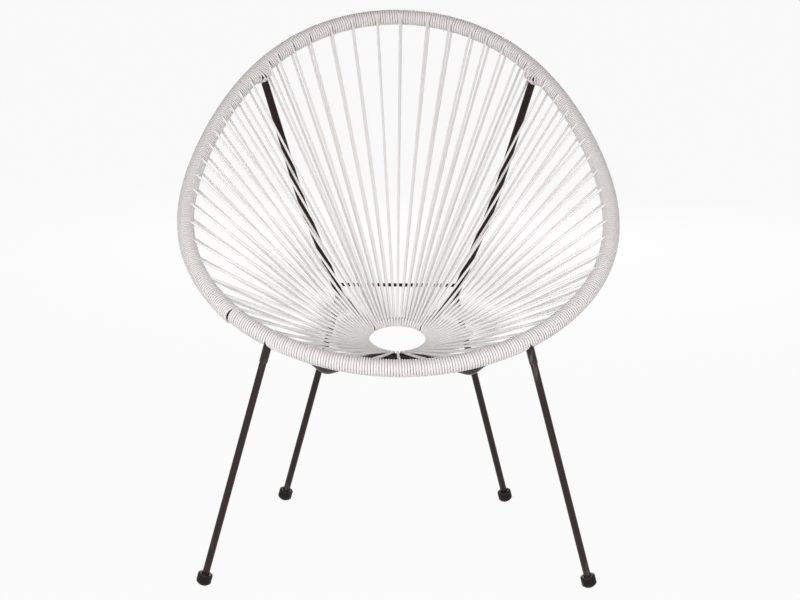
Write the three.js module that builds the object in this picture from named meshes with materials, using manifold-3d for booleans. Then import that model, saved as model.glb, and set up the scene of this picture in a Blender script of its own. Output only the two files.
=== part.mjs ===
import * as THREE from 'three';
import { mergeVertices } from 'three/addons/utils/BufferGeometryUtils.js';
import Module from 'manifold-3d';

// Acapulco chair. A closed steel hoop is wound tightly with cord. Between the windings, pairs
// of taut strands run down to a small steel ring, loop round it and come back, so that the
// strands alone make the seat and the back. Two stays and two struts carry the ring from the
// hoop, and four screwed-in rod legs stand in domed foot caps.
// Lengths are millimetres. +Z is up, the chair faces -Y, and left is the side at -X.

const wasm = await Module();
wasm.setup();

// Hoop, on its tube's centreline
const hoopWidth = 703;
const hoopDepth = 736;
const hoopRise = 469;
const hoopFrontHeight = 377;
const hoopTube = 20;

// Cord and its winding
const cordDiameter = 4.3;
const pairCount = 60;
const sectionCount = 12;
const ribDepth = 1.1;
const memberMargin = 13.4;

// Ring under the sitter, on its tube's centreline, with its drop below the hoop's front
const ringRadius = 57;
const ringTube = 12;
const ringForward = 74.5;
const ringDrop = 24.2;
const ringTilt = THREE.MathUtils.degToRad(18.5);

// Stays, from the back of the hoop down to the ring, with heights above the hoop's front
const stayTube = 13.5;
const stayKneeHalfSpan = 100;
const stayKneeBack = 75.5;
const stayKneeRise = 17;
const stayKneeBend = 45;
const stayBow = 10;
const stayBowBend = 900;
const crossbarDiameter = 6;
const crossbarRise = 33;

// Struts, from the ring out to the front of the hoop, with the knee's drop below it
const strutTube = 13.5;
const strutKneeDrop = 27;
const strutKneeBend = 60;

// Legs
const legDiameter = 11.5;
const frontFootHalfSpan = 307;
const frontFootForward = 302.5;
const rearFootHalfSpan = 197;
const rearFootBack = 140.5;
const socketDiameter = 13.5;
const socketLength = 40;
const shoulderGap = 1;
const studDiameter = 8;
const studInSocket = 20;
const studInLeg = 25;

// Foot caps
const capDiameter = 24;
const capHeight = 21;
const capFloor = 6;
const capLip = 1.2;
const domeRadius = 14.5;
const contactDepth = 0.5;

// Fits
const clearance = 0.3;

// Places round the hoop and the ring: angles from the front centre, positive towards the right
const fullTurn = 2 * Math.PI;
const frontSocketTurn = THREE.MathUtils.degToRad(30.6);
const stayHoopTurn = THREE.MathUtils.degToRad(137.9);
const stayRingTurn = THREE.MathUtils.degToRad(128);
const strutHoopTurn = THREE.MathUtils.degToRad(22);
const strutRingTurn = THREE.MathUtils.degToRad(25);

// The hoop's outline as harmonics of that angle: sines for the width, and cosines, the constant
// first, for the depth and the rise, each a share of the half size
const hoopWidthShares = [1.028, 0.026, 0.036, -0.014];
const hoopDepthShares = [-0.013, -0.984, 0.007, -0.016, 0.008];
const hoopRiseShares = [-0.042, -0.962, 0.036, -0.038, 0.006];
const stayBowShare = 0.6;
const strutKneeShare = 0.73;
const tubeShortShare = 0.3;

// Facets
const hoopSides = 12;
const woundSides = 8;
const tubeSides = 10;
const ringSteps = 24;
const bendSteps = 4;
const loopSteps = 4;
const turnedSides = 16;
const domeSteps = 4;

const up = new THREE.Vector3(0, 0, 1);
const ringHeight = hoopFrontHeight - ringDrop;
const stayKneeHeight = hoopFrontHeight + stayKneeRise;
const crossbarHeight = hoopFrontHeight + crossbarRise;
const strutKneeHeight = hoopFrontHeight - strutKneeDrop;
const cordReach = hoopTube / 2 + clearance + cordDiameter;
const pairTurn = fullTurn / pairCount;

// Joins rings of equally many points into one closed body. An open row of rings gets flat ends.
function loft(rings, joined) {
  const sides = rings[0].length;
  const spans = joined ? rings.length : rings.length - 1;
  const last = (rings.length - 1) * sides;
  const faces = [];
  for (let i = 0; i < spans; i += 1) {
    const near = i * sides;
    const far = ((i + 1) % rings.length) * sides;
    for (let j = 0; j < sides; j += 1) {
      const next = (j + 1) % sides;
      faces.push([near + j, near + next, far + next], [near + j, far + next, far + j]);
    }
  }
  for (let j = 1; !joined && j < sides - 1; j += 1) {
    faces.push([0, j + 1, j], [last, last + j, last + j + 1]);
  }
  const points = rings.flat();
  const volume = faces.reduce((sum, [a, b, c]) => (
    sum + points[a].dot(new THREE.Vector3().crossVectors(points[b], points[c]))), 0);
  const outward = volume > 0 ? faces : faces.map(([a, b, c]) => [a, c, b]);
  const geometry = new THREE.BufferGeometry().setFromPoints(points);
  geometry.setIndex(outward.flat());
  return geometry;
}

// A ring of points round a centre, square to the direction of travel
function circle(centre, direction, radius, sides) {
  const side = new THREE.Vector3().crossVectors(direction, up).normalize();
  const rise = new THREE.Vector3().crossVectors(side, direction).normalize();
  return Array.from({ length: sides }, (_, i) => {
    const angle = ((i + 0.5) / sides) * fullTurn;
    return centre.clone()
      .addScaledVector(side, radius * Math.cos(angle))
      .addScaledVector(rise, radius * Math.sin(angle));
  });
}

// Merges the vertices of a geometry and hands it over for joining and cutting
function solidOf(geometry) {
  const bare = geometry.clone();
  bare.deleteAttribute('normal');
  bare.deleteAttribute('uv');
  const merged = mergeVertices(bare);
  const corners = Array.from(merged.index.array);
  const kept = [];
  for (let i = 0; i < corners.length; i += 3) {
    const [a, b, c] = corners.slice(i, i + 3);
    if (a !== b && b !== c && c !== a) {
      kept.push(a, b, c);
    }
  }
  return new wasm.Manifold(new wasm.Mesh({
    numProp: 3,
    vertProperties: Float32Array.from(merged.attributes.position.array),
    triVerts: Uint32Array.from(kept),
  }));
}

function geometryOf(solid) {
  const mesh = solid.getMesh();
  const geometry = new THREE.BufferGeometry();
  geometry.setAttribute('position', new THREE.BufferAttribute(mesh.vertProperties, 3));
  geometry.setIndex(new THREE.BufferAttribute(mesh.triVerts, 1));
  return geometry;
}

function cut(geometry, cutters) {
  return geometryOf(cutters.reduce((rest, cutter) => rest.subtract(solidOf(cutter)),
    solidOf(geometry)));
}

// A closed profile of [radius, height] pairs, turned about +Z
function turned(profile) {
  const points = profile.map(([radius, height]) => new THREE.Vector2(radius, height));
  return new THREE.LatheGeometry(points, turnedSides).rotateX(Math.PI / 2);
}

// Hoop
function series(shares, wave, first, angle) {
  return shares.reduce((sum, share, i) => sum + share * wave((i + first) * angle), 0);
}

function hoopPoint(turn) {
  return new THREE.Vector3(
    (hoopWidth / 2) * series(hoopWidthShares, Math.sin, 1, turn),
    (hoopDepth / 2) * series(hoopDepthShares, Math.cos, 0, turn),
    hoopFrontHeight + (hoopRise / 2) * (1 + series(hoopRiseShares, Math.cos, 0, turn)),
  );
}

function hoopDirection(turn) {
  const step = pairTurn / pairCount;
  return hoopPoint(turn + step).sub(hoopPoint(turn - step)).normalize();
}

// The tube's facets turn halfway between two strand pairs
function hoopStation(index) {
  return (index + 0.5) * pairTurn;
}

function hoopTubeGeometry(radius) {
  const rings = Array.from({ length: pairCount }, (_, i) => {
    const turn = hoopStation(i);
    return circle(hoopPoint(turn), hoopDirection(turn), radius, hoopSides);
  });
  return loft(rings, true);
}

const hoopLength = Array.from({ length: pairCount }, (_, i) => (
  hoopPoint(hoopStation(i)).distanceTo(hoopPoint(hoopStation(i + 1))))).reduce((a, b) => a + b);

// Ring: across and back are its plane's axes, back rising by the tilt
const ringCentre = new THREE.Vector3(0, -ringForward, ringHeight);
const ringBack = new THREE.Vector3(0, Math.cos(ringTilt), Math.sin(ringTilt));

function ringPoint(turn) {
  return ringCentre.clone().addScaledVector(ringBack, -ringRadius * Math.cos(turn))
    .add(new THREE.Vector3(ringRadius * Math.sin(turn), 0, 0));
}

function ringDirection(turn) {
  return new THREE.Vector3(Math.cos(turn), 0, 0).addScaledVector(ringBack, Math.sin(turn));
}

function ringGeometry(radius) {
  const rings = Array.from({ length: ringSteps }, (_, i) => {
    const turn = (i / ringSteps) * fullTurn;
    return circle(ringPoint(turn), ringDirection(turn), radius, hoopSides);
  });
  return loft(rings, true);
}

// Bent tubes: straight runs between corners, each corner rounded by its own bend radius
function bendAt(before, corner, after, radius) {
  const back = before.clone().sub(corner).normalize();
  const on = after.clone().sub(corner).normalize();
  const reach = radius * Math.tan((Math.PI - back.angleTo(on)) / 2);
  return new THREE.QuadraticBezierCurve3(
    corner.clone().addScaledVector(back, reach),
    corner,
    corner.clone().addScaledVector(on, reach),
  );
}

function bentTube(corners, bends, radius) {
  const last = corners.length - 1;
  const station = (point, direction) => circle(point, direction, radius, tubeSides);
  const rings = [station(corners[0], corners[1].clone().sub(corners[0]).normalize())];
  for (let i = 1; i < last; i += 1) {
    const bend = bendAt(corners[i - 1], corners[i], corners[i + 1], bends[i - 1]);
    for (let j = 0; j <= bendSteps; j += 1) {
      rings.push(station(bend.getPoint(j / bendSteps), bend.getTangent(j / bendSteps)));
    }
  }
  rings.push(station(corners[last], corners[last].clone().sub(corners[last - 1]).normalize()));
  return loft(rings, false);
}

// Ends a tube short of the ring's centreline, so that only its mouth is shaped to the ring
function shortOf(from, target) {
  return target.clone().lerp(from, (tubeShortShare * ringTube) / from.distanceTo(target));
}

function mirrored(point, side) {
  return new THREE.Vector3(side * point.x, point.y, point.z);
}

// Stay: hoop, a slight outward bow, the knee behind the seat, the ring
const stayKnee = new THREE.Vector3(stayKneeHalfSpan, stayKneeBack, stayKneeHeight);
const stayBowPoint = hoopPoint(stayHoopTurn).lerp(stayKnee, stayBowShare)
  .add(new THREE.Vector3(stayBow, 0, 0));
const stayEnd = shortOf(stayKnee, ringPoint(stayRingTurn));
const stayCorners = [hoopPoint(stayHoopTurn), stayBowPoint, stayKnee, stayEnd];
const kneeMiddle = bendAt(stayBowPoint, stayKnee, stayEnd, stayKneeBend).getPoint(0.5);

function stayGeometry(side, extra) {
  const corners = stayCorners.map((corner) => mirrored(corner, side));
  return bentTube(corners, [stayBowBend, stayKneeBend], stayTube / 2 + extra);
}

// Strut: hoop, the knee below the seat's front, the ring
const strutKnee = ringPoint(strutRingTurn).lerp(hoopPoint(strutHoopTurn), strutKneeShare)
  .setZ(strutKneeHeight);
const strutEnd = shortOf(strutKnee, ringPoint(strutRingTurn));
const strutCorners = [hoopPoint(strutHoopTurn), strutKnee, strutEnd];

function strutGeometry(side, extra) {
  const corners = strutCorners.map((corner) => mirrored(corner, side));
  return bentTube(corners, [strutKneeBend], strutTube / 2 + extra);
}

// Crossbar: a thin rod from stay to stay, just above the knees
function crossbarGeometry() {
  const share = (stayBowPoint.z - crossbarHeight) / (stayBowPoint.z - stayKnee.z);
  const end = stayBowPoint.clone().lerp(stayKnee, share);
  const ends = [mirrored(end, -1), end];
  return bentTube(ends, [], crossbarDiameter / 2);
}

// Leg set: socket, stud, leg and foot cap on one axis. In the set's own frame the axis is +Z and
// the origin is the centre of the cap's dome.
function socketProfile(reach, extra) {
  const bore = studDiameter / 2 + clearance;
  const outside = socketDiameter / 2 + extra;
  const inside = extra ? 0 : bore;
  const bottom = reach - socketLength - extra;
  return [[inside, bottom], [outside, bottom], [outside, reach], [inside, reach], [inside, bottom]];
}

function studProfile(reach) {
  const low = reach - socketLength - shoulderGap - studInLeg;
  const high = reach - socketLength + studInSocket;
  return [[0, low], [studDiameter / 2, low], [studDiameter / 2, high], [0, high]];
}

function legProfile(reach) {
  const low = capFloor - domeRadius;
  const high = reach - socketLength - shoulderGap;
  const bore = studDiameter / 2 + clearance;
  const boreFloor = high - studInLeg - clearance;
  return [[0, low], [legDiameter / 2, low], [legDiameter / 2, high], [bore, high],
    [bore, boreFloor], [0, boreFloor]];
}

function capProfile() {
  const wide = capDiameter / 2;
  const bore = legDiameter / 2 + clearance;
  const top = capHeight - domeRadius;
  const open = Math.asin(wide / domeRadius);
  const dome = Array.from({ length: domeSteps + 1 }, (_, i) => {
    const angle = (open * i) / domeSteps;
    return [domeRadius * Math.sin(angle), -domeRadius * Math.cos(angle)];
  });
  const floor = capFloor - domeRadius - clearance;
  return [...dome, [wide, top - capLip], [wide - capLip, top], [bore, top], [bore, floor],
    [0, floor]];
}

function legAxis(top, foot) {
  const set = new THREE.Group();
  const axis = top.clone().sub(foot);
  set.position.copy(foot);
  set.quaternion.setFromUnitVectors(up, axis.clone().normalize());
  set.updateMatrixWorld();
  set.userData.reach = axis.length();
  return set;
}

// Colours and finishes
const finishes = {
  cord: { color: 0xf1efec, roughness: 0.42, metalness: 0 },
  steel: { color: 0x3b3534, roughness: 0.48, metalness: 0.25 },
  zinc: { color: 0xbfc0bd, roughness: 0.35, metalness: 0.9 },
  rubber: { color: 0x262322, roughness: 0.6, metalness: 0 },
};

function piece(name, geometry, finish) {
  const mesh = new THREE.Mesh(geometry, new THREE.MeshStandardMaterial(finishes[finish]));
  mesh.name = name;
  return mesh;
}

function legSet(place, axis, carrier) {
  const { reach } = axis.userData;
  const toSet = axis.matrixWorld.clone().invert();
  const floor = new THREE.BoxGeometry(2 * capDiameter, 2 * capDiameter, capHeight)
    .translate(axis.position.x, axis.position.y, -capHeight / 2);
  axis.add(
    piece(`${place}_socket`,
      cut(turned(socketProfile(reach, 0)), [carrier.applyMatrix4(toSet)]), 'steel'),
    piece(`${place}_stud`, turned(studProfile(reach)), 'zinc'),
    piece(`${place}_leg`, turned(legProfile(reach)), 'steel'),
    piece(`${place}_foot_cap`, cut(turned(capProfile()), [floor.applyMatrix4(toSet)]), 'rubber'),
  );
  return axis;
}

// The four leg axes, and what each socket is welded to
function frontAxis(side) {
  const foot = new THREE.Vector3(side * frontFootHalfSpan, -frontFootForward,
    domeRadius - contactDepth);
  return legAxis(mirrored(hoopPoint(frontSocketTurn), side), foot);
}

function rearAxis(side) {
  const foot = new THREE.Vector3(side * rearFootHalfSpan, rearFootBack,
    domeRadius - contactDepth);
  return legAxis(mirrored(kneeMiddle, side), foot);
}

// Strand pairs. Each starts beside a welded member where its even place would meet one.
const weldedTurns = [frontSocketTurn, strutHoopTurn, stayHoopTurn]
  .flatMap((turn) => [turn, fullTurn - turn]);

function pairHoopTurn(index) {
  const even = index * pairTurn;
  const margin = (memberMargin / hoopLength) * fullTurn;
  const met = weldedTurns.find((turn) => Math.abs(turn - even) < margin);
  return met === undefined ? even : met + margin * Math.sign(even - met);
}

// On the ring the pairs share out the arcs between the welded tubes. Over the ring they fill an
// arc evenly, and under it they keep clear of the tubes' mouths.
function pairRingTurns(index) {
  const hoopStops = [-strutHoopTurn, strutHoopTurn, stayHoopTurn, fullTurn - stayHoopTurn,
    fullTurn - strutHoopTurn];
  const ringStops = [-strutRingTurn, strutRingTurn, stayRingTurn, fullTurn - stayRingTurn,
    fullTurn - strutRingTurn];
  const place = index * pairTurn > fullTurn - strutHoopTurn
    ? index * pairTurn - fullTurn : index * pairTurn;
  const arc = hoopStops.findLastIndex((stop) => stop < place);
  const arcEnd = hoopStops[arc + 1];
  const first = Math.ceil(hoopStops[arc] / pairTurn);
  const count = Math.floor(arcEnd / pairTurn) - first + 1;
  const rank = Math.round(place / pairTurn) - first;
  const span = ringStops[arc + 1] - ringStops[arc];
  const mouth = ((stayTube + cordDiameter) / 2 + clearance) / ringRadius;
  return {
    over: ringStops[arc] + (span * (rank + 0.5)) / count,
    under: ringStops[arc] + mouth + ((span - 2 * mouth) * rank) / (count - 1),
  };
}

// The two directions square to a tube that a strand crosses: over it, and on along the strand
function wrapFrame(along, strand) {
  const on = strand.clone().addScaledVector(along, -strand.dot(along)).normalize();
  const over = new THREE.Vector3().crossVectors(along, on);
  return { on, over: over.multiplyScalar(Math.sign(over.z)) };
}

// One pair of strands: from the top of the hoop over the ring, round it and back to the hoop's
// underside, as one unbroken square-sectioned cord
function strandPair(index) {
  const hoopTurn = pairHoopTurn(index);
  const { over: overTurn, under: underTurn } = pairRingTurns(index);
  const start = hoopPoint(hoopTurn);
  const strand = ringPoint((overTurn + underTurn) / 2).sub(start).normalize();
  const half = (Math.sqrt(Math.PI) / 4) * cordDiameter;
  const hoopAlong = hoopDirection(hoopTurn);
  const hoopFrame = wrapFrame(hoopAlong, strand);
  const hoopSeat = hoopTube / 2 + clearance + cordDiameter / 2;
  const ringSeat = (ringTube / 2 + clearance + cordDiameter / 2)
    / Math.cos(Math.PI / (2 * loopSteps));
  const stations = [];
  for (let i = 0; i < loopSteps; i += 1) {
    const share = (i + 0.5) / loopSteps;
    const turn = THREE.MathUtils.lerp(overTurn, underTurn, share);
    const along = ringDirection(turn);
    const frame = wrapFrame(along, strand);
    const angle = Math.PI * share;
    const point = ringPoint(turn)
      .addScaledVector(frame.over, ringSeat * Math.cos(angle))
      .addScaledVector(frame.on, ringSeat * Math.sin(angle));
    stations.push({ point, along });
  }
  const leave = (side) => ({
    point: start.clone().addScaledVector(hoopFrame.over, side * hoopSeat)
      .addScaledVector(hoopAlong, (side * cordDiameter) / 4),
    along: hoopAlong,
  });
  stations.unshift(leave(1));
  stations.push(leave(-1));
  const rings = stations.map(({ point, along }, i) => {
    const before = stations[Math.max(i - 1, 0)].point;
    const after = stations[Math.min(i + 1, stations.length - 1)].point;
    const travel = after.clone().sub(before).normalize();
    const wide = along.clone().addScaledVector(travel, -along.dot(travel)).normalize();
    const thick = new THREE.Vector3().crossVectors(travel, wide);
    return [[1, 1], [-1, 1], [-1, -1], [1, -1]].map(([a, b]) => point.clone()
      .addScaledVector(wide, a * half).addScaledVector(thick, b * half));
  });
  return loft(rings, false);
}

// Winding: a ribbed sleeve round its stretch of the hoop, full at each strand pair and drawn in
// between them, with the hoop's facets in its bore
function windingSleeve(first, count) {
  const gap = ((clearance / hoopLength) * fullTurn) / 2;
  const ringAt = (turn, radius) => circle(hoopPoint(turn), hoopDirection(turn), radius,
    woundSides);
  const seams = Array.from({ length: count + 1 }, (_, i) => hoopStation(first + i - 1));
  seams[0] += gap;
  seams[count] -= gap;
  const outside = [];
  seams.forEach((seam, i) => {
    outside.push(ringAt(seam, cordReach - ribDepth));
    if (i < count) {
      outside.push(ringAt((first + i) * pairTurn, cordReach));
    }
  });
  const boreRadius = (hoopTube / 2 + clearance) / Math.cos(Math.PI / woundSides);
  const bore = seams.map((seam) => ringAt(seam, boreRadius));
  return loft([...outside, ...bore.reverse()], true);
}

// Section: one length of cord, its winding and the strand pairs that leave it, with a way
// through for each welded tube
function cordSection(number, members) {
  const count = pairCount / sectionCount;
  const first = number * count - (count - 1) / 2;
  const pairs = Array.from({ length: count }, (_, i) => (first + i + pairCount) % pairCount);
  const wound = pairs.reduce((solid, index) => solid.add(solidOf(strandPair(index))),
    solidOf(windingSleeve(first, count)));
  return geometryOf(members.reduce((solid, member) => solid.subtract(member), wound));
}

function sectionName(number) {
  const sides = sectionCount / 2;
  if (number % sides === 0) {
    return number === 0 ? 'cord_front' : 'cord_back';
  }
  return number < sides ? `cord_right_${number}` : `cord_left_${sectionCount - number}`;
}

// The chair
const chair = new THREE.Group();
const sides = { left: -1, right: 1 };
const hoopCutter = hoopTubeGeometry(hoopTube / 2 + clearance);
const ringCutter = ringGeometry(ringTube / 2 + clearance);
const members = [];

chair.add(piece('rim_hoop', hoopTubeGeometry(hoopTube / 2), 'steel'));
chair.add(piece('seat_ring', ringGeometry(ringTube / 2), 'steel'));

for (const [name, side] of Object.entries(sides)) {
  const front = frontAxis(side);
  const rear = rearAxis(side);
  chair.add(
    piece(`stay_${name}`, cut(stayGeometry(side, 0), [hoopCutter, ringCutter]), 'steel'),
    piece(`front_strut_${name}`, cut(strutGeometry(side, 0), [hoopCutter, ringCutter]), 'steel'),
    legSet(`front_${name}`, front, hoopCutter.clone()),
    legSet(`rear_${name}`, rear, stayGeometry(side, clearance)),
  );
  members.push(
    solidOf(stayGeometry(side, clearance)),
    solidOf(strutGeometry(side, clearance)),
    solidOf(turned(socketProfile(front.userData.reach, clearance))
      .applyMatrix4(front.matrixWorld)),
  );
}

chair.add(piece('stay_crossbar', cut(crossbarGeometry(),
  [stayGeometry(-1, clearance), stayGeometry(1, clearance)]), 'steel'));

for (let number = 0; number < sectionCount; number += 1) {
  chair.add(piece(sectionName(number), cordSection(number, members), 'cord'));
}

export default chair;
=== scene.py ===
# Acapulco chair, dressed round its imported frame. Lengths are metres, +Z is up, the chair faces
# -Y, and left is the side at -X. Places round the hoop and round the seat ring are angles from
# the front centre, positive towards the right.
import math

import bpy
import numpy as np
from mathutils import Matrix, Vector


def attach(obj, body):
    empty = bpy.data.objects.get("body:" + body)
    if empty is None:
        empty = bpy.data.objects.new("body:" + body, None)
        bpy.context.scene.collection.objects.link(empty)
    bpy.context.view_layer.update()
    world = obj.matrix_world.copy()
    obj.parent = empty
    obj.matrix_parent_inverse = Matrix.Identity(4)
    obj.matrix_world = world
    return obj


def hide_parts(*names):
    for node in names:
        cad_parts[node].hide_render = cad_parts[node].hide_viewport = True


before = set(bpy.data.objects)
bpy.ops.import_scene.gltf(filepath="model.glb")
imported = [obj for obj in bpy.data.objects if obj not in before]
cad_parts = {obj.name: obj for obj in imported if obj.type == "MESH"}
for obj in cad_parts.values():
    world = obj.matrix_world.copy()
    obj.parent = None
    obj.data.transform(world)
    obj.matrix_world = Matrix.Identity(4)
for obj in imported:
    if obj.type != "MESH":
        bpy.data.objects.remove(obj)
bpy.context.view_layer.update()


# The view: a long lens from straight in front and a little above, so that the shell is seen
# from inside and the legs show below the hoop.
eye = Vector((-0.0294, -3.5832, 1.2075))
gaze_down = math.radians(12.92)
gaze_right = math.radians(0.497)
gaze_roll = math.radians(0.503)
forward = Vector((
    math.sin(gaze_right) * math.cos(gaze_down),
    math.cos(gaze_right) * math.cos(gaze_down),
    -math.sin(gaze_down),
))
level = Vector((math.cos(gaze_right), -math.sin(gaze_right), 0))
upright = level.cross(forward)
camera_right = level * math.cos(gaze_roll) + upright * math.sin(gaze_roll)
camera_up = upright * math.cos(gaze_roll) - level * math.sin(gaze_roll)
camera_data = bpy.data.cameras.new("camera")
camera_data.sensor_width = 36
camera_data.lens = 97.36
camera_data.shift_x = 0.002
camera_data.shift_y = 0.0118
camera_data.clip_end = 60
camera = bpy.data.objects.new("camera", camera_data)
camera.matrix_world = Matrix.Translation(eye) @ Matrix((
    camera_right, camera_up, -forward)).transposed().to_4x4()
bpy.context.scene.collection.objects.link(camera)
bpy.context.scene.camera = camera
bpy.context.scene.view_settings.view_transform = "Standard"


# The hoop is one steel tube bent to a closed, pear-shaped loop, low in front and high at the
# back, and powder coated. The cord wound round it hides it but for thin gaps beside the strands
# and at the tubes that are welded to it.
hoop_width, hoop_depth, hoop_rise = 0.703, 0.736, 0.469
hoop_front_height = 0.377
hoop_radius = 0.010
hoop_steps = 360
hoop_sides = 20
# How much of each sine makes up the width, and of each cosine the depth and the rise
width_shares = (1.028, 0.026, 0.036, -0.014)
depth_shares = (-0.013, -0.984, 0.007, -0.016, 0.008)
rise_shares = (-0.042, -0.962, 0.036, -0.038, 0.006)


def hoop_at(turn):
    turn = np.asarray(turn, dtype=float)
    across = sum(s * np.sin((k + 1) * turn) for k, s in enumerate(width_shares))
    back = sum(s * np.cos(k * turn) for k, s in enumerate(depth_shares))
    rise = 1 + sum(s * np.cos(k * turn) for k, s in enumerate(rise_shares))
    return np.stack([
        hoop_width / 2 * across,
        hoop_depth / 2 * back,
        hoop_front_height + hoop_rise / 2 * rise,
    ], axis=-1)


def unit(vectors):
    return vectors / np.linalg.norm(vectors, axis=-1, keepdims=True)


def hoop_along(turn, nudge=1e-4):
    turn = np.asarray(turn, dtype=float)
    return unit(hoop_at(turn + nudge) - hoop_at(turn - nudge))


class Wire:
    """A value inside a finish. Plain arithmetic on it adds the nodes that work it out."""

    def __init__(self, recipe, socket):
        self.recipe = recipe
        self.socket = socket

    def _math(self, operation, first, second):
        return self.recipe.node("ShaderNodeMath", {"operation": operation}, {0: first, 1: second})

    def __add__(self, other):
        return self._math("ADD", self, other)

    def __radd__(self, other):
        return self._math("ADD", other, self)

    def __sub__(self, other):
        return self._math("SUBTRACT", self, other)

    def __rsub__(self, other):
        return self._math("SUBTRACT", other, self)

    def __mul__(self, other):
        return self._math("MULTIPLY", self, other)

    def __rmul__(self, other):
        return self._math("MULTIPLY", other, self)

    def __pow__(self, other):
        return self._math("POWER", self, other)

    def __rpow__(self, other):
        return self._math("POWER", other, self)

    def between(self, low, high):
        """0 up to the low value, 1 from the high one on, and even in between"""
        return self.recipe.node("ShaderNodeMapRange", {},
                                {"Value": self, "From Min": low, "From Max": high})


class Recipe:
    """The nodes of one finish, or of the room's light, joined by wires"""

    def __init__(self, tree):
        self.tree = tree

    def node(self, kind, settings, sockets, output=0):
        made = self.tree.nodes.new(kind)
        for name, value in settings.items():
            setattr(made, name, value)
        for name, value in sockets.items():
            self.feed(made.inputs[name], value)
        return Wire(self, made.outputs[output])

    def feed(self, socket, value):
        if isinstance(value, Wire):
            self.tree.links.new(value.socket, socket)
        else:
            socket.default_value = value

    def blend(self, share, first, second):
        return self.node("ShaderNodeMix", {"data_type": "RGBA"},
                         {0: share, 6: first, 7: second}, 2)

    def ray(self, kind):
        return self.node("ShaderNodeLightPath", {}, {}, f"Is {kind} Ray")


class Finish(Recipe):
    """A material with one glossy shader. What is the same all over is set on its sockets."""

    def __init__(self, name, **constants):
        self.material = bpy.data.materials.new(name)
        self.material.use_nodes = True
        super().__init__(self.material.node_tree)
        self.shader = self.tree.nodes["Principled BSDF"]
        for socket, value in constants.items():
            self.shader.inputs[socket.replace("_", " ")].default_value = value

    def place(self):
        return self.node("ShaderNodeTexCoord", {}, {}, "Object")

    def noise(self, scale, detail, stretch=(1, 1, 1)):
        stretched = self.node("ShaderNodeVectorMath", {"operation": "MULTIPLY"},
                              {0: self.place(), 1: stretch})
        return self.node("ShaderNodeTexNoise", {}, {
            "Vector": stretched, "Scale": scale, "Detail": detail}, "Fac")

    def attribute(self, name):
        return self.node("ShaderNodeAttribute", {"attribute_name": name}, {}, "Fac")

    def surface(self, colour, roughness, relief, depth, strength):
        self.feed(self.shader.inputs["Base Color"], colour)
        self.feed(self.shader.inputs["Roughness"], roughness)
        bump = self.node("ShaderNodeBump", {}, {
            "Height": relief, "Distance": depth, "Strength": strength})
        self.feed(self.shader.inputs["Normal"], bump)
        return self.material


def powder_coated_steel():
    """Satin brown-black powder coat with a fine orange peel, light scuffs and rubbed edges"""
    finish = Finish("powder_coated_steel", Metallic=0.0, IOR=1.5, Specular_IOR_Level=0.24)
    peel = finish.noise(1500, 1)
    broad = finish.noise(22, 3)
    rub = finish.noise(160, 4, (1, 1, 0.15)).between(0.55, 0.75) * finish.attribute("edge")
    scuff = finish.noise(70, 5, (1, 1, 0.08)).between(0.66, 0.8) * 0.3
    coat = finish.blend(broad, (0.0198, 0.0107, 0.0102, 1), (0.029, 0.0157, 0.015, 1))
    dulled = finish.blend(scuff, coat, (0.12, 0.105, 0.098, 1))
    colour = finish.blend(rub, dulled, (0.2, 0.18, 0.165, 1))
    return finish.surface(colour, 0.26 + 0.1 * broad + 0.2 * scuff, peel, 0.00005, 0.3)


def skin(rows, sides, closed):
    """Faces that join rows of equally many points into a tube"""
    faces = []
    for i in range(rows if closed else rows - 1):
        near, far = i * sides, (i + 1) % rows * sides
        for k in range(sides):
            following = (k + 1) % sides
            faces.append((near + k, near + following, far + following, far + k))
    if not closed:
        faces.append(tuple(reversed(range(sides))))
        faces.append(tuple(range((rows - 1) * sides, rows * sides)))
    return faces


crease_angle = math.radians(42)


def piece(name, vertices, faces, material, nodes=(), values=None):
    """A finished piece, with the CAD nodes that it replaces and any values of its points"""
    mesh = bpy.data.meshes.new(name)
    mesh.from_pydata([tuple(v) for v in vertices], [], faces)
    mesh.polygons.foreach_set("use_smooth", [True] * len(mesh.polygons))
    mesh.set_sharp_from_angle(angle=crease_angle)
    for label, numbers in (values or {}).items():
        layer = mesh.attributes.new(label, "FLOAT", "POINT")
        layer.data.foreach_set("value", np.asarray(numbers, dtype=np.float32))
    mesh.materials.append(material)
    made = bpy.data.objects.new(name, mesh)
    bpy.context.scene.collection.objects.link(made)
    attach(made, "root")
    if nodes:
        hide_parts(*nodes)


def full_turn(count):
    """Angles spaced evenly round a whole turn"""
    return np.arange(count) / count * math.tau


def path_directions(path, closed):
    if closed:
        return unit(np.roll(path, -1, axis=0) - np.roll(path, 1, axis=0))
    return unit(np.gradient(path, axis=0))


def round_section(path, radii, sides, closed=False):
    """Points of a round section carried along a path without twisting, and their ways out"""
    along = path_directions(path, closed)
    towards = (0.31, 0.17, 0.94)
    normals = [unit(np.cross(along[0], towards))]
    for way in along[1:]:
        last = normals[-1]
        normals.append(unit(last - way * (last @ way)))
    normals = np.array(normals)
    if closed:
        back = unit(normals[-1] - along[0] * (normals[-1] @ along[0]))
        gained = math.atan2(np.cross(normals[0], back) @ along[0], normals[0] @ back)
        lag = -gained * np.arange(len(path)) / len(path)
    else:
        lag = np.zeros(len(path))
    binormals = np.cross(along, normals)
    angles = full_turn(sides) + lag[:, None]
    radii = np.broadcast_to(radii, len(path))
    outward = (normals[:, None] * np.cos(angles)[..., None]
               + binormals[:, None] * np.sin(angles)[..., None])
    return path[:, None] + radii[:, None, None] * outward, outward


steel = powder_coated_steel()


def steel_tube(name, path, radii, sides, nodes=(), closed=False):
    rings, _ = round_section(path, radii, sides, closed)
    piece(name, rings.reshape(-1, 3), skin(len(rings), sides, closed), steel,
          nodes)


hoop_path = hoop_at(full_turn(hoop_steps))
steel_tube("hoop_tube", hoop_path, hoop_radius, hoop_sides, ["rim_hoop"], closed=True)


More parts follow.
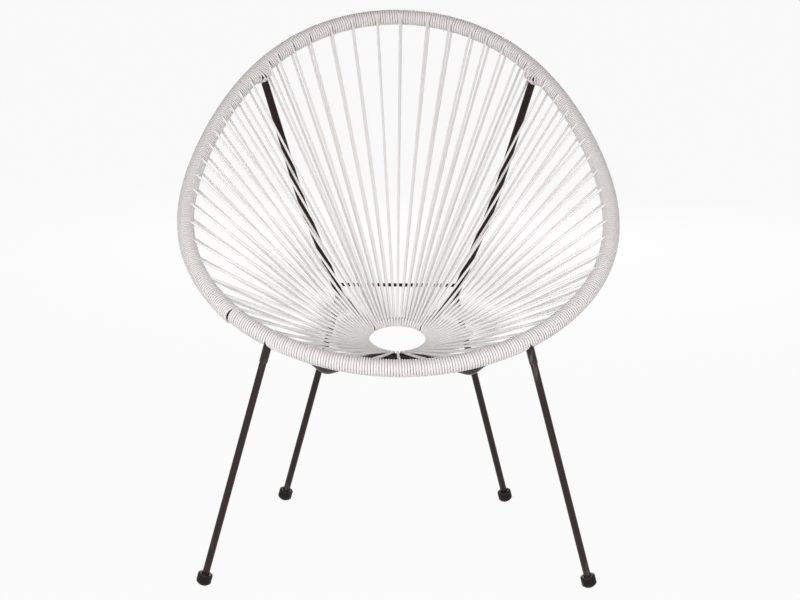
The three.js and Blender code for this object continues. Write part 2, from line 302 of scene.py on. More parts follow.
# The seat ring is a small bent steel ring under the sitter, tilted up towards the back and
# welded to the ends of the stays and struts. Every strand passes round it, and its bare outer
# side shows dark between the front strands.
ring_radius = 0.057
ring_tube_radius = 0.006
ring_centre = np.array([0, -0.0745, 0.3528])
ring_tilt = math.radians(18.5)
ring_back = np.array([0, math.cos(ring_tilt), math.sin(ring_tilt)])
ring_steps = 96
bar_sides = 24


def ring_at(turn):
    turn = np.asarray(turn, dtype=float)[..., None]
    return (ring_centre - ring_radius * np.cos(turn) * ring_back
            + ring_radius * np.sin(turn) * np.array([1, 0, 0]))


def ring_along(turn):
    return np.array([math.cos(turn), 0, 0]) + math.sin(turn) * ring_back


ring_path = ring_at(full_turn(ring_steps))
steel_tube("seat_ring_tube", ring_path, ring_tube_radius, bar_sides, ["seat_ring"], closed=True)


# Two stays, bent from steel tube, run from the back of the hoop down to a knee behind the seat
# and forward to the ring. They carry the back, and a thin rod ties them together above their
# knees.
stay_radius = 0.00675
stay_hoop_turn = math.radians(137.9)
stay_ring_turn = math.radians(128)
stay_knee = np.array([0.1, 0.0755, 0.394])
stay_bow = np.array([0.010, 0, 0])
stay_bow_share = 0.6
stay_bow_point = ((1 - stay_bow_share) * hoop_at(stay_hoop_turn)
                  + stay_bow_share * stay_knee) + stay_bow
stay_bow_bend, stay_knee_bend = 0.9, 0.045
# A tube that is welded to the ring ends inside it, this far from its centreline
inside_ring = 0.0036
both_sides = (("left", -1), ("right", 1))


def eased_corner(first, corner, last, share):
    """A corner drawn as a smooth curve that touches both of its sides"""
    return (1 - share) ** 2 * first + 2 * share * (1 - share) * corner + share ** 2 * last


def bent_path(corners, bends, spacing=0.006, bend_points=17):
    """Straight runs between corners, each corner eased over a length set by its bend radius"""
    points = [corners[0]]
    for before, corner, after, bend in zip(corners, corners[1:], corners[2:], bends):
        back, onward = unit(before - corner), unit(after - corner)
        reach = bend * math.tan((math.pi - math.acos(back @ onward)) / 2)
        share = np.linspace(0, 1, bend_points)[:, None]
        points.extend(eased_corner(corner + reach * back, corner, corner + reach * onward, share))
    points.append(corners[-1])
    points = np.array(points)
    lengths = np.concatenate([[0], np.cumsum(np.linalg.norm(np.diff(points, axis=0), axis=1))])
    even = np.linspace(0, lengths[-1], int(lengths[-1] / spacing) + 2)
    return np.stack([np.interp(even, lengths, points[:, k]) for k in range(3)], axis=-1)


def short_of(start, target, distance):
    return target + distance * unit(start - target)


def mirrored(points, side):
    return np.asarray(points) * np.array([side, 1, 1])


def tube_pair(name, node, corners, bends):
    """A left and a right tube that mirror each other"""
    paths = {}
    for place, side in both_sides:
        paths[place] = bent_path([mirrored(c, side) for c in corners], bends)
        steel_tube(f"{name}_{place}", paths[place], stay_radius, bar_sides, [f"{node}_{place}"])
    return paths


stay_paths = tube_pair("stay_tube", "stay", [
    hoop_at(stay_hoop_turn), stay_bow_point, stay_knee,
    short_of(stay_knee, ring_at(stay_ring_turn), inside_ring)], [stay_bow_bend, stay_knee_bend])

crossbar_radius = 0.003
crossbar_height = 0.41
crossbar_steps, crossbar_sides = 24, 16
crossbar_share = (stay_bow_point[2] - crossbar_height) / (stay_bow_point[2] - stay_knee[2])
crossbar_end = stay_bow_point + crossbar_share * (stay_knee - stay_bow_point)
crossbar_path = np.linspace(mirrored(crossbar_end, -1), crossbar_end, crossbar_steps)
steel_tube("crossbar_rod", crossbar_path, crossbar_radius, crossbar_sides, ["stay_crossbar"])


# Two front struts, of the same tube as the stays, leave the ring almost level and turn up to
# the underside of the hoop. They are welded at both ends and hold the front of the seat.
strut_hoop_turn = math.radians(22)
strut_ring_turn = math.radians(25)
strut_knee_share = 0.73
strut_knee_height = 0.35
strut_knee_bend = 0.06
strut_top, strut_foot = hoop_at(strut_hoop_turn), ring_at(strut_ring_turn)
strut_knee = strut_foot + strut_knee_share * (strut_top - strut_foot)
strut_knee[2] = strut_knee_height
strut_paths = tube_pair("front_strut_tube", "front_strut", [
    strut_top, strut_knee, short_of(strut_knee, strut_foot, inside_ring)], [strut_knee_bend])


# Four leg sets: a threaded socket welded to the frame, a stud, a straight rod leg, and a soft
# cap on its foot. All four turn on one axis, which starts at the centre of the cap's dome, and
# the leg screws off for shipping.
socket_radius = 0.00675
socket_length = 0.04
leg_radius = 0.00575
stud_radius = 0.004
stud_tip_radius = 0.0031
stud_length = 0.045
stud_in_leg = 0.025
thread_pitch = 0.00125
thread_depth = 0.0007
thread_steps, thread_sides = 8, 24
bore_radius = stud_radius + 0.0003
bore_depth = 0.0253
shoulder_gap = 0.001
dome_radius = 0.0145
cap_radius = 0.012
cap_height = 0.021
cap_floor_height = 0.006
cap_bore_radius = leg_radius + 0.0001
dome_centre_height = 0.014
stay_knee_middle = stay_paths["right"][
    np.argmin(np.linalg.norm(stay_paths["right"] - stay_knee, axis=1))]
front_socket_turn = math.radians(30.6)
front_carrier = hoop_at(front_socket_turn)
front_foot = np.array([0.307, -0.3025, dome_centre_height])
rear_foot = np.array([0.197, 0.1405, dome_centre_height])
leg_sets = (
    ("front_left", -1, front_carrier, front_foot),
    ("front_right", 1, front_carrier, front_foot),
    ("rear_left", -1, stay_knee_middle, rear_foot),
    ("rear_right", 1, stay_knee_middle, rear_foot),
)


# A rounded corner takes at most this share of the sides that meet in it
most_of_side = 0.45


def eased(profile, radius, steps=5):
    """A profile of (radius, height, edge mark) points with its corners rounded"""
    points = [np.array(p, dtype=float) for p in profile]
    out = [points[0]]
    for before, corner, after in zip(points, points[1:], points[2:]):
        reach = min(radius, most_of_side * np.linalg.norm(before[:2] - corner[:2]),
                    most_of_side * np.linalg.norm(after[:2] - corner[:2]))
        first = corner[:2] + reach * unit(before[:2] - corner[:2])
        last = corner[:2] + reach * unit(after[:2] - corner[:2])
        for share in np.linspace(0, 1, steps):
            out.append(np.array([*eased_corner(first, corner[:2], last, share), corner[2]]))
    out.append(points[-1])
    return out


def spokes_round(axis, count, towards=(0.2, 0.1, 1.0)):
    """Directions square to an axis, spaced evenly round it"""
    side = unit(np.cross(axis, towards))
    other = np.cross(axis, side)
    angles = full_turn(count)[:, None]
    return np.cos(angles) * side + np.sin(angles) * other


def turned(profile, foot, top, segments=48):
    """Points, faces and edge marks of a profile turned round the axis from foot to top"""
    axis = unit(top - foot)
    spokes = spokes_round(axis, segments)
    rows, faces, wear_and_sheen, start = [], [], [], []
    for radius, height, worn_and_sheen in profile:
        start.append(sum(len(r) for r in rows))
        centre = foot + height * axis
        rows.append(centre[None] if radius < 1e-7 else centre + radius * spokes)
        wear_and_sheen.extend([worn_and_sheen] * len(rows[-1]))
    for i in range(len(rows) - 1):
        near, far = start[i], start[i + 1]
        for k in range(segments):
            following = (k + 1) % segments
            if len(rows[i]) == 1:
                faces.append((near, far + following, far + k))
            elif len(rows[i + 1]) == 1:
                faces.append((near + k, near + following, far))
            else:
                faces.append((near + k, near + following, far + following, far + k))
    return np.concatenate(rows), faces, wear_and_sheen


def zinc_plated_steel():
    """Bright zinc on a rolled thread"""
    finish = Finish("zinc_plated_steel", Metallic=1.0)
    grain = finish.noise(600, 3)
    colour = finish.blend(grain, (0.5, 0.5, 0.48, 1), (0.68, 0.68, 0.65, 1))
    return finish.surface(colour, 0.25 + 0.2 * grain, grain, 0.00003, 0.4)


def soft_black_rubber():
    """Moulded black rubber, a little glossy from the mould, with rubbed edges, a painted highlight
    on its top rim, and dust near the floor
    """
    finish = Finish("soft_black_rubber", Metallic=0.0, IOR=1.5, Specular_IOR_Level=0.12)
    cloud = finish.noise(120, 4)
    height = finish.node("ShaderNodeSeparateXYZ", {}, {"Vector": finish.place()}, "Z")
    dust = (1 - height.between(0.001, 0.009)) * (0.25 + 0.6 * cloud)
    black = finish.blend(cloud, (0.0105, 0.008, 0.0076, 1), (0.0175, 0.0135, 0.013, 1))
    # Lighter where the edge marks are high: rubbed wear on the dome, and a painted highlight along
    # the top rim
    worn_and_sheen = finish.blend(finish.attribute("edge") * cloud, black, (0.06, 0.052, 0.05, 1))
    colour = finish.blend(dust * 0.2, worn_and_sheen, (0.16, 0.14, 0.125, 1))
    return finish.surface(colour, 0.33 + 0.2 * cloud + 0.25 * dust,
                          finish.noise(900, 3), 0.00012, 0.45)


zinc = zinc_plated_steel()
rubber = soft_black_rubber()
leg_axes = {}
for place, side, carrier, foot in leg_sets:
    low, high = mirrored(foot, side), mirrored(carrier, side)
    axis = unit(high - low)
    reach = np.linalg.norm(high - low)
    mouth = reach - socket_length
    shoulder = mouth - shoulder_gap
    leg_axes[place] = (low, high)

    # The socket is a sleeve with a turned lower lip
    profile = [
        (bore_radius, reach - 0.006, 0),
        (bore_radius, mouth + 0.0006, 0),
        (bore_radius + 0.0005, mouth, 0.4),
        (socket_radius - 0.0003, mouth, 1),
        (socket_radius, mouth + 0.0005, 1),
        (socket_radius, reach, 0),
    ]
    points, faces, wear_and_sheen = turned(profile, low, high)
    piece(f"{place}_socket_sleeve", points, faces, steel,
          [f"{place}_socket"], {"edge": wear_and_sheen})

    # The stud's rolled thread shows as a bright ring at the joint
    rows = int((stud_length + shoulder_gap) / thread_pitch * thread_steps)
    spokes = spokes_round(axis, thread_sides)
    thread = []
    for i in range(rows + 1):
        phase = (i / thread_steps - np.arange(thread_sides) / thread_sides) % 1
        crest = stud_radius - thread_depth * np.abs(2 * phase - 1)
        lead = min(1, i / thread_steps, (rows - i) / thread_steps)
        radius = lead * crest + (1 - lead) * stud_tip_radius
        height = shoulder - stud_in_leg + i * thread_pitch / thread_steps
        thread.append(low + height * axis + radius[:, None] * spokes)
    piece(f"{place}_threaded_stud", np.concatenate(thread),
          skin(len(thread), thread_sides, False), zinc, [f"{place}_stud"])

    # The leg is a solid rod, drilled and tapped at its upper end
    cap_floor = cap_floor_height - dome_radius
    profile = eased([
        (0, cap_floor, 0),
        (leg_radius, cap_floor, 0.5),
        (leg_radius, 0.1, 0),
        (leg_radius, shoulder - 0.03, 0),
        (leg_radius, shoulder, 1),
        (bore_radius, shoulder, 1),
        (bore_radius, shoulder - bore_depth, 0),
        (0, shoulder - bore_depth, 0),
    ], 0.0008)
    points, faces, wear_and_sheen = turned(profile, low, high)
    piece(f"{place}_rod_leg", points, faces, steel, [f"{place}_leg"],
          {"edge": wear_and_sheen})

    # The cap is a cup with a domed underside, worn flat where it stands
    top = cap_height - dome_radius
    opening = math.asin(cap_radius / dome_radius)
    dome = [(dome_radius * math.sin(a), -dome_radius * math.cos(a), 0.15)
            for a in np.linspace(0, opening, 14)]
    waist = dome[-1][1]
    # The high edge marks round the top rim paint a highlight there, while those on the dome are
    # rubbed wear
    wall = eased([
        dome[-1],
        (cap_radius, waist + 0.003, 0),
        (cap_radius + 0.0001, top - 0.0035, 0),
        (cap_radius - 0.0001, top - 0.0012, 0.6),
        (cap_radius - 0.0014, top, 0.8),
        (leg_radius + 0.0008, top, 0.5),
        (cap_bore_radius, top - 0.0006, 0.2),
        (cap_bore_radius, cap_floor - 0.0003, 0),
        (0, cap_floor - 0.0003, 0),
    ], 0.0007)
    points, faces, wear_and_sheen = turned(dome[:-1] + wall, low, high, 64)
    points[:, 2] = np.maximum(points[:, 2], 0)
    piece(f"{place}_rubber_cap", points, faces, rubber,
          [f"{place}_foot_cap"], {"edge": wear_and_sheen})


# Every joint of the frame is closed by a weld run once round the tube that ends there. It is
# laid in short overlapping beads and powder coated with the rest.
weld_points, weld_sides = 64, 10
weld_beads = 16
weld_ripple = 0.2
bead_radius, thin_bead_radius = 0.0015, 0.001
fine_steps = 16

# A weld is looked for from this far out along its tube, towards the tube's end, among those
# points of the hoop or ring that lie near the joint
far_start, near_start = 0.03, 0.02
search_length, search_step = 0.05, 0.0002
hoop_nearby, ring_nearby = 0.04, 0.03


def weld_run(name, end, out, start, radius, carrier, carrier_radius, bead=bead_radius):
    """A weld where a tube's skin, followed from a start along it to its end, meets the carrier"""
    axis = -unit(out)
    run = []
    steps = np.arange(0, search_length, search_step)
    for spoke in spokes_round(axis, weld_points, (0.13, 0.29, 0.95)):
        line = end + start * out + radius * spoke + steps[:, None] * axis
        gaps = np.min(np.linalg.norm(line[:, None] - carrier[None], axis=2), axis=1)
        inside = np.nonzero(gaps <= carrier_radius)[0]
        run.append(line[inside[0] if len(inside) else np.argmin(gaps)])
    run = np.array(run)
    for _ in range(2):
        run = (np.roll(run, 1, axis=0) + 2 * run + np.roll(run, -1, axis=0)) / 4
    beads = bead * (1 + weld_ripple * np.sin(full_turn(weld_points) * weld_beads))
    steel_tube(name, run, beads, weld_sides, closed=True)


def fine(path):
    even = np.linspace(0, len(path) - 1, fine_steps * len(path))
    return np.stack([np.interp(even, np.arange(len(path)), path[:, k]) for k in range(3)], axis=-1)


def near(line, point, distance):
    return line[np.linalg.norm(line - point, axis=1) < distance]


def leaving_hoop(path):
    """The way in which a stay or strut leaves the hoop"""
    return unit(path[3] - path[0])


hoop_line = fine(np.concatenate([hoop_path, hoop_path[:1]]))
ring_line = fine(np.concatenate([ring_path, ring_path[:1]]))
for place, side in both_sides:
    stay_line = fine(stay_paths[place])
    for label, path in (("stay", stay_paths[place]), ("front_strut", strut_paths[place])):
        weld_run(f"weld_{label}_{place}_hoop", path[0], leaving_hoop(path), far_start,
                 stay_radius, near(hoop_line, path[0], hoop_nearby), hoop_radius)
        weld_run(f"weld_{label}_{place}_ring", path[-1], unit(path[-4] - path[-1]), near_start,
                 stay_radius, near(ring_line, path[-1], ring_nearby), ring_tube_radius)
    weld_run(f"weld_crossbar_{place}", mirrored(crossbar_end, side), np.array([-side, 0.0, 0.0]),
             near_start, crossbar_radius, stay_line, stay_radius, thin_bead_radius)
    low, high = leg_axes[f"front_{place}"]
    weld_run(f"weld_front_{place}_socket", high, unit(low - high), far_start, socket_radius,
             near(hoop_line, high, hoop_nearby), hoop_radius)
    low, high = leg_axes[f"rear_{place}"]
    weld_run(f"weld_rear_{place}_socket", high, unit(low - high), far_start, socket_radius,
             stay_line, stay_radius)


# The cord is extruded white vinyl. It winds round the hoop, and about every tenth turn runs down
# to the ring, passes round it from below and comes back over the top, pulled taut. Twelve
# lengths are laid end to end, and at the left front one ends over its own tail.
cord_radius = 0.00213
taut_share = 0.97
wind_radius = 0.0123
points_a_turn = 20
cord_sides = 10
pair_count = 60
pair_step = math.tau / pair_count
quarter_turn = 0.25
crossing_pairs = 2

# The hoop's length and the turns of cord that fill it
hoop_turns = np.linspace(0, math.tau, 20 * hoop_steps + 1)
hoop_distances = np.concatenate([[0], np.cumsum(np.linalg.norm(
    np.diff(hoop_at(hoop_turns), axis=0), axis=1))])
hoop_length = hoop_distances[-1]
wrap_count = int(hoop_length / (2 * cord_radius))
wrap_pitch = hoop_length / wrap_count

# How near to a welded tube a pair may leave the hoop, and how far from it turns are pushed aside
member_margin = 0.0134
member_reach = 0.045

# How far the cord's middle stays from the middle of a tube beside it, and of the ring under it
clear_of_tube = stay_radius + cord_radius + 0.0002
clear_at_ring = stay_radius + cord_radius + 0.0003
round_ring = ring_tube_radius + cord_radius + 0.0001

# How the room beside a tube narrows on its far side, and which points of a turn face the tube
slack_ease = 1.6
facing_tube = 0.9

# Where the winding swells over the top of a stay, and how wide and how far
swell_angle, swell_spread, swell_length = 0.52, 0.6, 0.012
stay_bulge = 0.0125

# How far the turns beside a pair lean over, over how many turns that fades, and how it grows
# towards the inner side
lean_share, lean_turns, lean_ease = 0.42, 3, 0.7

# Where the points of a taut strand lie close together, and how many go round the ring
close_spacing, close_count = 0.003, 9
open_margin, open_count = 0.035, 12
ring_arc_points = 13

# How near a stay a strand rides over it, and which bends are smoothed, by the steps beside them
ride_reach = 0.016
short_step = 0.009

# The weaver's hand: how unevenly a turn lies along the hoop and off it, and how a strand bows
hand = np.random.default_rng(7)
stray_size = 0.00012
loose_least, loose_most = -0.00005, 0.00012
bow_size = 0.0005

# The seam, where the last turns of one length of cord lie over its own tail
seam_pair = 53
seam_gap = 0.005
seam_start = 0.5
seam_step = 0.003
seam_fade = 0.04
hoop_middle = np.array([0, 0, hoop_front_height + hoop_rise / 2])


def turn_after(distance):
    laps = np.floor(distance / hoop_length)
    return laps * math.tau + np.interp(distance - laps * hoop_length, hoop_distances, hoop_turns)


def distance_to(turn):
    laps = np.floor(turn / math.tau)
    return laps * hoop_length + np.interp(turn - laps * math.tau, hoop_turns, hoop_distances)


class Member:
    """A tube welded to the hoop, with the side of it that faces the sitter's front"""

    def __init__(self, turn, way, bulge):
        along = hoop_along(turn)
        self.distance = float(distance_to(turn % math.tau))
        self.square = unit(way - along * (way @ along))
        face = np.cross(along, self.square)
        self.face = face * math.copysign(1, -face[1])
        self.lean = (way @ along) / (way @ self.square)
        self.bulge = bulge


members = []
for place, side in both_sides:
    low, high = leg_axes[f"front_{place}"]
    members += [
        Member(side * stay_hoop_turn, leaving_hoop(stay_paths[place]), stay_bulge),
        Member(side * strut_hoop_turn, leaving_hoop(strut_paths[place]), 0),
        Member(side * front_socket_turn, unit(low - high), 0)]


def hand_drift(degrees):
    """How far the weaver strayed from even spacing, in degrees, as the photograph shows"""
    humps = ((-1.3, 66, 12), (-0.9, 86, 9), (-2.2, 167, 13), (0.9, 205, 8), (-3.4, 262, 20),
             (-3.3, 287, 14))
    return sum(size * math.exp(-((degrees - centre) / width) ** 2)
               for size, centre, width in humps)


def pair_wrap(index):
    """The number of the turn of cord that a pair takes the place of"""
    even = index * pair_step
    place = distance_to(even + math.radians(hand_drift(math.degrees(even))))
    for member in members:
        if abs(member.distance - place) < member_margin:
            place = member.distance + math.copysign(member_margin, place - member.distance)
    return round(place / wrap_pitch)


def ring_turns(index):
    """Where a pair crosses the ring: over it evenly, under it clear of the welded tubes

    The pairs next outside each stay cross in front of it and reach the ring behind its end."""
    hoop_stops = [-strut_hoop_turn, strut_hoop_turn, stay_hoop_turn, math.tau - stay_hoop_turn,
                  math.tau - strut_hoop_turn]
    ring_stops = [-strut_ring_turn, strut_ring_turn, stay_ring_turn, math.tau - stay_ring_turn,
                  math.tau - strut_ring_turn]
    place = index * pair_step
    if place > math.tau - strut_hoop_turn:
        place -= math.tau
    for stop in (2, 3):
        hoop_stops[stop] += math.copysign(crossing_pairs * pair_step, hoop_stops[stop] - math.pi)
    arc = max(i for i, stop in enumerate(hoop_stops) if stop < place)
    first = math.ceil(hoop_stops[arc] / pair_step)
    count = math.floor(hoop_stops[arc + 1] / pair_step) - first + 1
    rank = round(place / pair_step) - first
    span = ring_stops[arc + 1] - ring_stops[arc]
    mouth = clear_at_ring / ring_radius
    return (ring_stops[arc] + span * (rank + 0.5) / count,
            ring_stops[arc] + mouth + (span - 2 * mouth) * rank / (count - 1))


def crossing_frame(along, strand):
    """Square to a tube: on along the strand, and over the tube"""
    onward = unit(strand - along * (strand @ along))
    over = np.cross(along, onward)
    return onward, over * math.copysign(1, over[2])


def winding_frame(turn):
    """Along the hoop, and two directions square to it: level, and rising"""
    along = hoop_along(turn)
    side = unit(np.cross(along, (0, 0, 1.0)))
    return along, side, np.cross(side, along)


pairs = []
for index in range(pair_count + 1):
    wrap = pair_wrap(index % pair_count) + (wrap_count if index == pair_count else 0)
    turn = float(turn_after(wrap * wrap_pitch))
    over_turn, under_turn = ring_turns(index % pair_count)
    strand = unit(ring_at((over_turn + under_turn) / 2) - hoop_at(turn))
    along, side, rise = winding_frame(turn)
    _, over = crossing_frame(along, strand)
    pairs.append({"wrap": wrap, "over": over_turn, "under": under_turn, "strand": strand,
                  "lean": math.atan2(over @ rise, over @ side)})
leans = np.unwrap([pair["lean"] for pair in pairs])


def leaning(gap):
    """How far a turn leans over, by its distance from a pair"""
    return lean_share * wrap_pitch * np.exp((1 - np.abs(gap) / wrap_pitch) / lean_turns)


def closed_up(distances, index, angles):
    """Turns beside a pair lean into the place that its strands leave free at the inner side"""
    inner = np.clip(np.sin(angles - leans[index]), 0, 1) ** lean_ease
    lower, upper = pairs[index]["wrap"] * wrap_pitch, pairs[index + 1]["wrap"] * wrap_pitch
    return distances + inner * (leaning(upper - distances) - leaning(distances - lower))


def parted(distances, radial, radii):
    """Turns of cord that pass either side of each welded member, and swell over a stay's top"""
    distances, radii = distances.copy(), radii.copy()
    for member in members:
        shift = (distances - member.distance + hoop_length / 2) % hoop_length - hoop_length / 2
        if np.min(np.abs(shift)) > member_reach:
            continue
        down, front = radial @ member.square, radial @ member.face
        angle = np.arctan2(front, down)
        away = shift - radii * np.clip(down, 0, 1) * member.lean
        radii += member.bulge * np.exp(-((angle - swell_angle) / swell_spread) ** 2
                                       - (away / swell_length) ** 2)
        tight = np.sqrt(np.clip(clear_of_tube ** 2 - (radii * front) ** 2, 0, None)) * (down > 0)
        slack = clear_of_tube * ((1 + down) / 2) ** slack_ease
        push = np.where(front > 0, tight, slack)
        middles = [
            i for i in range(1, len(down) - 1)
            if down[i] > facing_tube and down[i] >= down[i - 1] and down[i] > down[i + 1]]
        if not middles:
            continue
        nearest = np.argmin(np.abs(np.arange(len(down))[:, None] - np.array(middles)), axis=1)
        way_out = np.where(away[np.array(middles)] < 0, -1, 1)[nearest]
        distances += way_out * push * np.clip(1 - np.abs(away) / member_reach, 0, 1)
    return distances, radii


def winding(index):
    """The turns from one pair's upper strand to the next pair's lower one"""
    first = pairs[index]["wrap"] + quarter_turn
    last = pairs[index + 1]["wrap"] - quarter_turn
    count = round((last - first) * points_a_turn)
    share = np.arange(count + 1) / count
    wraps = first + share * (last - first)
    angles = -(wraps - first) * math.tau + leans[index] + (leans[index + 1] - leans[index]) * share
    knots = np.arange(int(last - first) + 2)
    fade = np.sin(math.pi * share) ** 0.5
    stray = np.interp(wraps - first, knots, hand.normal(0, stray_size, len(knots)))
    loose = np.interp(wraps - first, knots, hand.uniform(loose_least, loose_most, len(knots)))
    distances = closed_up(wraps * wrap_pitch, index, angles) + fade * stray
    if index == seam_pair - 1:
        outer_share = np.clip(-seam_start - np.sin(angles - leans[index]), 0, 1)
        distances -= seam_gap * share * outer_share
    _, side, rise = winding_frame(turn_after(distances))
    radial = np.cos(angles)[:, None] * side + np.sin(angles)[:, None] * rise
    distances, radii = parted(distances, radial, wind_radius + fade * loose)
    before_seam = pairs[seam_pair]["wrap"] * wrap_pitch - distances
    outer = unit(hoop_at(turn_after(distances)) - hoop_middle)
    tail = np.where(before_seam > 0, np.exp(-before_seam / seam_fade), 0)
    radii = radii + seam_step * tail * np.clip(np.einsum("nk,nk->n", radial, outer), 0, 1)
    return hoop_at(turn_after(distances)) + radii[:, None] * radial, radial


# The lower end of each stay, from the ring upwards
stay_end_steps = 75
stay_ends = [fine(stay_paths[place])[-stay_end_steps * fine_steps:-fine_steps][::-4]
             for place, _ in both_sides]


def over_stays(points):
    """Strands that meet a stay near the ring ride over it"""
    points = points.copy()
    for nearby in stay_ends:
        gaps = np.linalg.norm(points[:, None] - nearby[None], axis=2)
        closest = np.argmin(gaps, axis=1)
        for k in np.nonzero(np.min(gaps, axis=1) < ride_reach)[0]:
            way = unit(nearby[min(closest[k] + 1, len(nearby) - 1)] - nearby[closest[k] - 1])
            offset = points[k] - nearby[closest[k]]
            across = unit(np.cross(way, (0, 0, 1.0)))
            upward = np.cross(across, way)
            beside, above = offset @ across, offset @ upward
            if abs(beside) < clear_of_tube and closest[k] > 1:
                lift = math.sqrt(clear_of_tube ** 2 - beside ** 2) - above
                points[k] += upward * max(0, lift)
    return points


def taut_run(start, end):
    """Points of one strand, close together near its ends and wide apart between, but not on them"""
    length = np.linalg.norm(end - start)
    close = np.arange(1, close_count + 1) * close_spacing
    even = np.linspace(open_margin, length - open_margin, open_count)
    spots = np.concatenate([close, even, length - close[::-1]]) / length
    bow = hand.normal(0, bow_size, 3)
    return start + spots[:, None] * (end - start) + np.sin(math.pi * spots)[:, None] ** 2 * bow


def strand_pair(index):
    """From the underside of the hoop round the ring to the top of the hoop"""
    pair = pairs[index]
    arc = []
    for share in np.linspace(0, 1, ring_arc_points):
        turn = pair["under"] + (pair["over"] - pair["under"]) * share
        onward, over = crossing_frame(ring_along(turn), pair["strand"])
        angle = math.pi * (1 - share)
        outward = math.cos(angle) * over + math.sin(angle) * onward
        arc.append(ring_at(turn) + round_ring * outward)
    ends = []
    for sign in (-1, 1):
        turn = float(turn_after((pair["wrap"] + sign * quarter_turn) * wrap_pitch))
        _, side, rise = winding_frame(turn)
        radial = math.cos(leans[index]) * side + math.sin(leans[index]) * rise
        ends.append(hoop_at(turn) + sign * wind_radius * radial)
    down, back = taut_run(ends[0], arc[0]), taut_run(arc[-1], ends[1])
    return over_stays(np.concatenate([down, arc, back]))


def white_vinyl():
    """Extruded vinyl cord: off-white and softly glossy, with painted shade and a grime tint between
    the turns, and taut strands painted lighter as if more brightly lit
    """
    finish = Finish("white_vinyl", Metallic=0.0, IOR=1.5)
    cloud = finish.noise(45, 4)
    speck = finish.noise(700, 3)
    # Painted shade: the sides of each wound turn are darkened towards brown where they meet the
    # next, standing in for shade in the grooves, with a grime tint
    painted_shade_and_grime = finish.attribute("groove_shade") ** 1.1 * (0.5 + 0.5 * cloud)
    white = finish.blend(cloud, (0.85, 0.815, 0.815, 1), (0.885, 0.855, 0.855, 1))
    # Painted light: the taut strands get a lighter white than the wound turns of the same cord, as
    # if more brightly lit
    white_with_lit_strands = finish.blend(finish.attribute("taut"), white, (0.945, 0.922, 0.914, 1))
    colour = finish.blend(painted_shade_and_grime * 0.85, white_with_lit_strands, (0.31, 0.24, 0.2, 1))
    return finish.surface(colour, 0.34 + 0.14 * cloud, speck, 0.00004, 0.15)


vinyl = white_vinyl()
cord_names = ["cord_front"] + [f"cord_right_{k}" for k in range(1, 6)] + ["cord_back"]
cord_names += [f"cord_left_{k}" for k in range(5, 0, -1)]
pairs_a_length = pair_count // len(cord_names)

# The whole cord as one path, and where it is parted: halfway between pairs, and at the seam
cord_path, cord_radii, cord_radials, breaks = [], [], [], []
total = 0
for index in range(pair_count):
    strands = strand_pair(index)
    wound, radial = winding(index)
    cord_path.extend([strands, wound])
    cord_radii.extend([np.full(len(strands), cord_radius * taut_share),
                       np.full(len(wound), cord_radius)])
    cord_radials.extend([np.zeros_like(strands), radial])
    total += len(strands)
    if index == seam_pair - 1:
        breaks.append(total + len(wound))
    elif index % pairs_a_length == pairs_a_length // 2:
        turns_between = len(wound) // points_a_turn + 1
        breaks.append(total + turns_between // 2 * points_a_turn + points_a_turn // 2)
    total += len(wound)
cord_path, cord_radii = np.concatenate(cord_path), np.concatenate(cord_radii)
cord_radials = np.concatenate(cord_radials)

# Short steps, at the bends, are smoothed. The long ones of the taut runs stay straight
for _ in range(2):
    short = np.linalg.norm(cord_path[2:] - cord_path[:-2], axis=1) < short_step
    smooth = (cord_path[:-2] + 6 * cord_path[1:-1] + cord_path[2:]) / 8
    cord_path[1:-1] = np.where(short[:, None], smooth, cord_path[1:-1])

# Each length reaches a little past its breaks, so that the next one meets its cut end
butt_share = 0.55
for number, name in enumerate(cord_names):
    first = breaks[number - 1] - (total if number == 0 else 0)
    last = breaks[number]
    picked = np.arange(first - 1, last + 1) % total
    route = cord_path[picked]
    route[0] = (1 - butt_share) * route[0] + butt_share * route[1]
    route[-1] = (1 - butt_share) * route[-1] + butt_share * route[-2]
    rings, outward = round_section(route, cord_radii[picked], cord_sides)
    facing = np.einsum("nsk,nk->ns", outward, cord_radials[picked])
    wound = np.linalg.norm(cord_radials[picked], axis=1)[:, None] > 0.5
    # Painted shade between the turns: each wound turn is marked from its crest outwards, fully on
    # its sides and underside, and the taut strands carry none
    groove_shade = np.where(wound, 1 - np.clip(facing, 0, 1), 0.0)
    # The taut strands are marked for their painted lighter white
    taut = np.where(wound, 0.0, 1.0) * np.ones(cord_sides)
    piece(f"{name}_length", rings.reshape(-1, 3), skin(len(rings), cord_sides, False), vinyl,
          [name], {"groove_shade": groove_shade.ravel(), "taut": taut.ravel()})


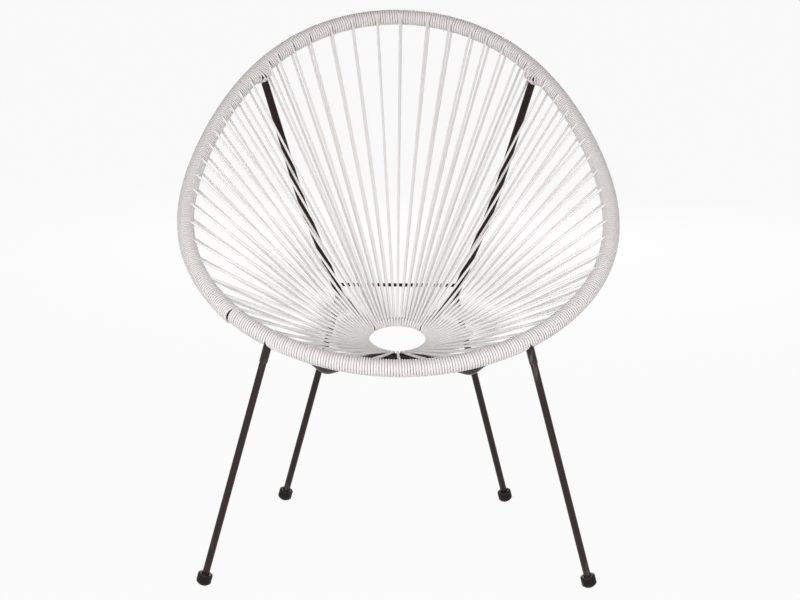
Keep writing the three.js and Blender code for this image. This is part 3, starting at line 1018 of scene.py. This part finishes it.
# The floor is a plain pale sheet. To the camera and in reflections it glows almost white, and
# it keeps the chair's soft shadow.
floor_half = 30
floor_glow = 0.93
floor_mesh = bpy.data.meshes.new("floor")
floor_mesh.from_pydata([(-floor_half, -floor_half, 0), (floor_half, -floor_half, 0),
                        (floor_half, floor_half, 0), (-floor_half, floor_half, 0)],
                       [], [(0, 1, 2, 3)])
floor = bpy.data.objects.new("floor", floor_mesh)
bpy.context.scene.collection.objects.link(floor)
sheet = Finish("pale_floor", Base_Color=(0.8, 0.8, 0.8, 1), Roughness=0.9)
seen_directly = sheet.ray("Camera") + sheet.ray("Glossy") + sheet.ray("Transmission")
sheet.feed(sheet.tree.nodes["Material Output"].inputs["Surface"], sheet.node(
    "ShaderNodeMixShader", {}, {
        0: seen_directly * floor_glow,
        1: Wire(sheet, sheet.shader.outputs[0]),
        2: sheet.node("ShaderNodeEmission", {}, {})}))
floor_mesh.materials.append(sheet.material)


# The light is a soft studio light: two panels in front, the left one stronger, and a wide one
# behind. The room is paler in front of the chair than above and behind it, and plain white to
# the camera.
def light_panel(name, place, target, size, watts):
    data = bpy.data.lights.new(name, "AREA")
    data.shape = "RECTANGLE"
    data.size, data.size_y = size
    data.energy = watts
    panel = bpy.data.objects.new(name, data)
    panel.location = place
    aim = Vector(target) - Vector(place)
    panel.rotation_euler = aim.to_track_quat("-Z", "Y").to_euler()
    bpy.context.scene.collection.objects.link(panel)


light_panel("panel_left", (-1.1, -2.7, 1.0), (0, -0.05, 0.5), (1.3, 1.1), 31.5)
light_panel("panel_right", (0.9, -2.8, 0.95), (0, -0.05, 0.5), (1.3, 1.1), 25.5)
light_panel("panel_back", (0.3, 3.0, 1.3), (0, 0, 0.5), (2.0, 1.4), 32)

world = bpy.data.worlds.new("studio")
world.use_nodes = True
bpy.context.scene.world = world
room = Recipe(world.node_tree)
direction = room.node("ShaderNodeTexCoord", {}, {}, "Generated")
behind = room.node("ShaderNodeVectorMath", {"operation": "DOT_PRODUCT"},
                   {0: direction, 1: (0, 0.7, 0.7)}, "Value")
walls = room.blend(behind.between(-0.8, 0.5), (0.62, 0.62, 0.62, 1), (0.26, 0.253, 0.247, 1))
room.feed(world.node_tree.nodes["Background"].inputs["Color"],
          room.blend(room.ray("Camera"), walls, (1, 1, 1, 1)))
